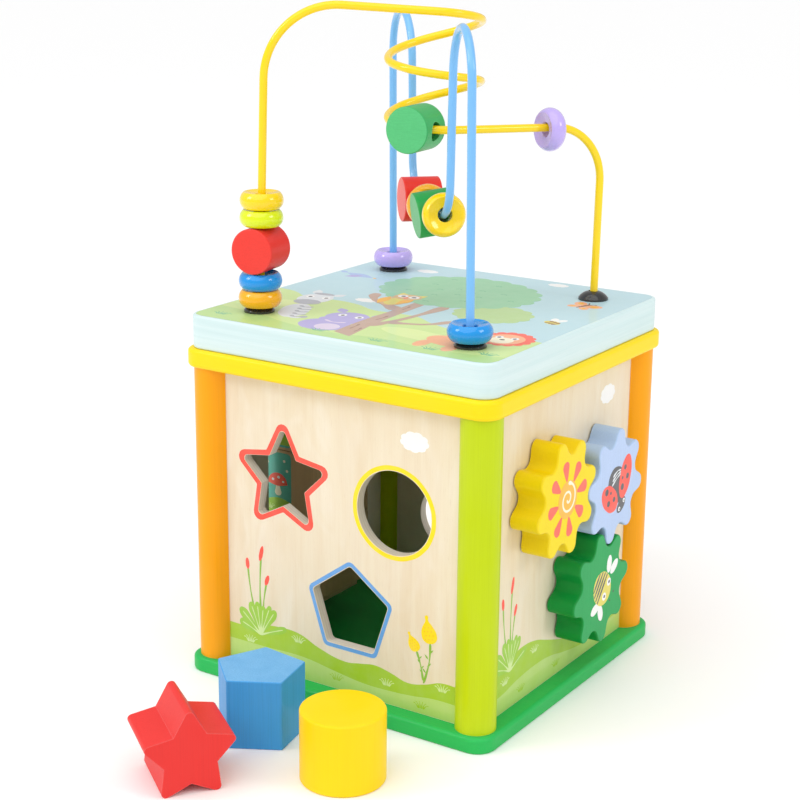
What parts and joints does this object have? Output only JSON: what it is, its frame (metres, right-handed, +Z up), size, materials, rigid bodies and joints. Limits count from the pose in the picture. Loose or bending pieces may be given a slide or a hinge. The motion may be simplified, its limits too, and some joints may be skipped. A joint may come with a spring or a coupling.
{
  "type": "activity cube",
  "caption": "Wooden activity cube with shape-sorting holes and blocks, meshing gears, turning picture blocks, a sliding knob and a lift-off lid with a bead maze.",
  "frame": {"origin": "centre of the base board's underside, on the floor", "axes": "+Z up, -Y out of the shape-sorter face, +X out of the gear face"},
  "size_m": [0.1873, 0.3028, 0.3417],
  "materials": {
    "base_green": "bright green lacquer on a routed board, satin",
    "post_orange": "orange lacquer on a turned dowel, semi-gloss",
    "post_lime": "lime green lacquer on a turned dowel, semi-gloss",
    "panel_wood": "clear-coated birch plywood with printed meadow scene, satin",
    "frame_yellow": "yellow lacquer on a routed board, semi-gloss",
    "lid_mint": "pale mint lacquer with a printed meadow scene on top, satin",
    "raw_wood": "bare sanded wood, matt",
    "gear_yellow": "yellow lacquer on a routed wooden gear with a printed sun, satin",
    "gear_blue": "pale blue lacquer on a routed wooden gear with a printed beetle, satin",
    "gear_green": "green lacquer on a routed wooden gear with a printed bee, satin",
    "picture_blocks": "wooden block with a printed picture on each side, satin",
    "knob_red": "red lacquer on a turned knob, semi-gloss",
    "wire_yellow": "yellow powder-coated steel wire, glossy",
    "wire_blue": "light blue powder-coated steel wire, glossy",
    "cap_black": "moulded black plastic cap, glossy",
    "steel": "zinc-plated steel, satin",
    "bead_yellow": "yellow lacquer on a turned bead, glossy",
    "bead_lime": "lime lacquer on a turned bead, glossy",
    "bead_red": "red lacquer on a turned barrel bead, satin",
    "bead_blue": "blue lacquer on a turned bead, glossy",
    "bead_orange": "orange lacquer on a turned bead, glossy",
    "bead_purple": "lilac lacquer on a turned bead, glossy",
    "bead_green": "green lacquer on a turned barrel bead, satin",
    "block_red": "red lacquer on a cut wooden block, satin",
    "block_blue": "blue lacquer on a cut wooden block with visible grain, satin",
    "block_yellow": "yellow lacquer on a turned wooden block, satin"
  },
  "bodies": {
    "cube": {"base_board": "base_green", "post_front_left": "post_orange", "post_front_right": "post_lime", "post_back_right": "post_orange", "post_back_left": "post_lime", "front_panel": "panel_wood", "right_panel": "panel_wood", "back_panel": "panel_wood", "left_panel": "panel_wood", "top_frame": "frame_yellow", "base_screws": "steel", "frame_screws": "steel", "gear_pegs": "raw_wood", "gear_washers": "raw_wood", "rod_rail_lower": "raw_wood", "rod_rail_upper": "raw_wood", "block_rod": "steel", "rod_washers": "raw_wood"},
    "lid": {"lid_board": "lid_mint", "lid_plug": "raw_wood", "lid_screws": "steel", "wire_caps": "cap_black", "blue_wire": "wire_blue", "yellow_wire": "wire_yellow"},
    "knob": {"slide_knob": "knob_red", "knob_keeper": "raw_wood"},
    "back_purple_disc": {"back_purple_disc": "bead_purple"},
    "blue_gear": {"blue_gear": "gear_blue"},
    "coil_green_barrel": {"coil_green_barrel": "bead_green"},
    "cylinder_block": {"cylinder_block": "block_yellow"},
    "dip_green_barrel": {"dip_green_barrel": "bead_green"},
    "dip_orange_disc": {"dip_orange_disc": "bead_orange"},
    "dip_red_barrel": {"dip_red_barrel": "bead_red"},
    "dip_yellow_disc": {"dip_yellow_disc": "bead_yellow"},
    "front_blue_disc": {"front_blue_disc": "bead_blue"},
    "green_gear": {"green_gear": "gear_green"},
    "pentagon_block": {"pentagon_block": "block_blue"},
    "picture_block_bottom": {"picture_block_bottom": "picture_blocks"},
    "picture_block_middle": {"picture_block_middle": "picture_blocks"},
    "picture_block_top": {"picture_block_top": "picture_blocks"},
    "run_purple_disc": {"run_purple_disc": "bead_purple"},
    "stack_blue_disc": {"stack_blue_disc": "bead_blue"},
    "stack_lime_disc": {"stack_lime_disc": "bead_lime"},
    "stack_orange_disc": {"stack_orange_disc": "bead_orange"},
    "stack_red_barrel": {"stack_red_barrel": "bead_red"},
    "stack_yellow_disc": {"stack_yellow_disc": "bead_yellow"},
    "star_block": {"star_block": "block_red"},
    "yellow_gear": {"yellow_gear": "gear_yellow"}
  },
  "joints": [
    {"name": "lid_lift", "type": "slide", "parent": "cube", "child": "lid", "axis": [0, 0, 1], "range_m": [0, 0.05]},
    {"name": "blue_gear_spin", "type": "hinge", "parent": "cube", "child": "blue_gear", "pos_m": [0.0818, 0.025, 0.104], "axis": [1, 0, 0], "continuous": true},
    {"name": "yellow_gear_spin", "type": "hinge", "parent": "cube", "child": "yellow_gear", "pos_m": [0.0818, -0.0273, 0.1121], "axis": [1, 0, 0], "continuous": true},
    {"name": "green_gear_spin", "type": "hinge", "parent": "cube", "child": "green_gear", "pos_m": [0.0818, 0.0134, 0.0525], "axis": [1, 0, 0], "continuous": true},
    {"name": "picture_block_bottom_turn", "type": "hinge", "parent": "cube", "child": "picture_block_bottom", "pos_m": [-0.066, -0.0095, 0.0492], "axis": [0, 0, 1], "continuous": true},
    {"name": "picture_block_middle_turn", "type": "hinge", "parent": "cube", "child": "picture_block_middle", "pos_m": [-0.066, -0.0095, 0.0881], "axis": [0, 0, 1], "continuous": true},
    {"name": "picture_block_top_turn", "type": "hinge", "parent": "cube", "child": "picture_block_top", "pos_m": [-0.066, -0.0095, 0.127], "axis": [0, 0, 1], "continuous": true},
    {"name": "knob_slide", "type": "slide", "parent": "cube", "child": "knob", "axis": [0, 0, 1], "range_m": [0, 0.0708]},
    {"name": "stack_yellow_disc_slide", "type": "slide", "parent": "lid", "child": "stack_yellow_disc", "axis": [0.0238, 0.014, 0.9996], "range_m": [0, 0.045]},
    {"name": "back_purple_disc_slide", "type": "slide", "parent": "lid", "child": "back_purple_disc", "axis": [-0.0088, -0.0018, 1], "range_m": [0, 0.1]},
    {"name": "front_blue_disc_slide", "type": "slide", "parent": "lid", "child": "front_blue_disc", "axis": [-0.0063, -0.0119, 0.9999], "range_m": [0, 0.1]},
    {"name": "run_purple_disc_slide", "type": "slide", "parent": "lid", "child": "run_purple_disc", "axis": [0.5029, 0.864, -0.0238], "range_m": [-0.038, 0]},
    {"name": "stack_orange_disc_spin", "type": "hinge", "parent": "lid", "child": "stack_orange_disc", "pos_m": [-0.06104, -0.06153, 0.19705], "axis": [0, 0, 1], "continuous": true},
    {"name": "stack_blue_disc_spin", "type": "hinge", "parent": "lid", "child": "stack_blue_disc", "pos_m": [-0.06084, -0.06141, 0.2057], "axis": [0, 0, 1], "continuous": true},
    {"name": "stack_red_barrel_spin", "type": "hinge", "parent": "lid", "child": "stack_red_barrel", "pos_m": [-0.06046, -0.06119, 0.22145], "axis": [0, 0, 1], "continuous": true},
    {"name": "stack_lime_disc_spin", "type": "hinge", "parent": "lid", "child": "stack_lime_disc", "pos_m": [-0.06009, -0.06097, 0.2372], "axis": [0, 0, 1], "continuous": true},
    {"name": "dip_yellow_disc_spin", "type": "hinge", "parent": "lid", "child": "dip_yellow_disc", "pos_m": [0.021, -0.02171, 0.24116], "axis": [0.6964, -0.6964, 0.1736], "continuous": true},
    {"name": "dip_green_barrel_spin", "type": "hinge", "parent": "lid", "child": "dip_green_barrel", "pos_m": [0.0081, -0.00994, 0.2393], "axis": [0.7071, -0.7071, 0], "continuous": true},
    {"name": "dip_orange_disc_spin", "type": "hinge", "parent": "lid", "child": "dip_orange_disc", "pos_m": [-0.00297, 0.00127, 0.24039], "axis": [0.7071, -0.7071, 0], "continuous": true},
    {"name": "dip_red_barrel_spin", "type": "hinge", "parent": "lid", "child": "dip_red_barrel", "pos_m": [-0.01446, 0.01205, 0.24108], "axis": [0.7071, -0.7071, 0], "continuous": true},
    {"name": "coil_green_barrel_spin", "type": "hinge", "parent": "lid", "child": "coil_green_barrel", "pos_m": [0.00377, -0.02094, 0.28153], "axis": [0.9927, 0.0869, -0.0835], "continuous": true},
    {"name": "cylinder_block_lift", "type": "slide", "parent": "cube", "child": "cylinder_block", "axis": [0, 0, 1], "range_m": [0, 0.08]},
    {"name": "pentagon_block_lift", "type": "slide", "parent": "cube", "child": "pentagon_block", "axis": [0, 0, 1], "range_m": [0, 0.08]},
    {"name": "star_block_lift", "type": "slide", "parent": "cube", "child": "star_block", "axis": [0, 0, 1], "range_m": [0, 0.08]}
  ],
  "couplings": [
    {"joint": "yellow_gear_spin", "follows": "blue_gear_spin", "ratio": -1},
    {"joint": "green_gear_spin", "follows": "blue_gear_spin", "ratio": -1}
  ]
}
